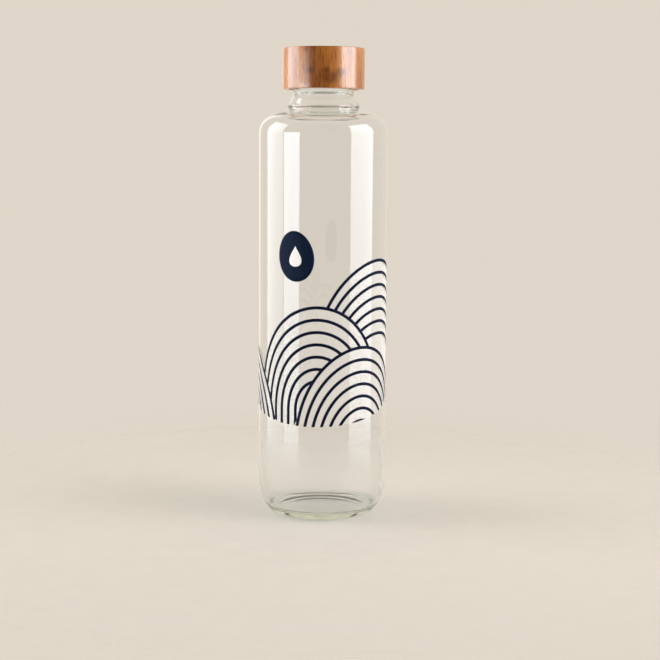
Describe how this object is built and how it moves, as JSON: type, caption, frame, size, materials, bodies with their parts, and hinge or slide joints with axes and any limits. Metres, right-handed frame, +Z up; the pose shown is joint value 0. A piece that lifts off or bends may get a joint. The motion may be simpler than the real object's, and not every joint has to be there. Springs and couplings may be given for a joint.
{
  "type": "glass water bottle",
  "caption": "Tall clear glass water bottle with rounded shoulders, short neck, bamboo screw cap and a wave pattern printed on the front.",
  "frame": {"origin": "centre of the foot, on the plane the bottle stands on", "axes": "+Z up along the bottle's axis, the middle of the printed front faces -Y"},
  "size_m": [0.0801, 0.0802, 0.29],
  "materials": {
    "clear_glass": "clear, polished",
    "navy_ink": "opaque satin screen print",
    "white_ink": "opaque satin screen print",
    "bamboo": "satin varnished bamboo with upright grain",
    "cream_plastic": "moulded, satin",
    "liner_steel": "brushed",
    "white_silicone": "smooth, matt"
  },
  "bodies": {
    "bottle": {"glass_bottle": "clear_glass", "wave_print": "navy_ink", "badge_print": "navy_ink", "badge_drop": "white_ink"},
    "seal": {"sealing_gasket": "white_silicone"},
    "cap": {"bamboo_cap_shell": "bamboo", "cap_thread_insert": "cream_plastic", "steel_liner_disc": "liner_steel"}
  },
  "joints": [
    {"name": "cap_rise", "type": "slide", "parent": "bottle", "child": "seal", "axis": [0, 0, 1], "range_m": [0, 0.03]},
    {"name": "cap_turn", "type": "hinge", "parent": "seal", "child": "cap", "pos_m": [0, 0, 0.28], "axis": [0, 0, 1], "range_deg": [0, 2160]}
  ],
  "couplings": [
    {"joint": "cap_rise", "follows": "cap_turn", "m_per_rad": 0.00079577}
  ]
}
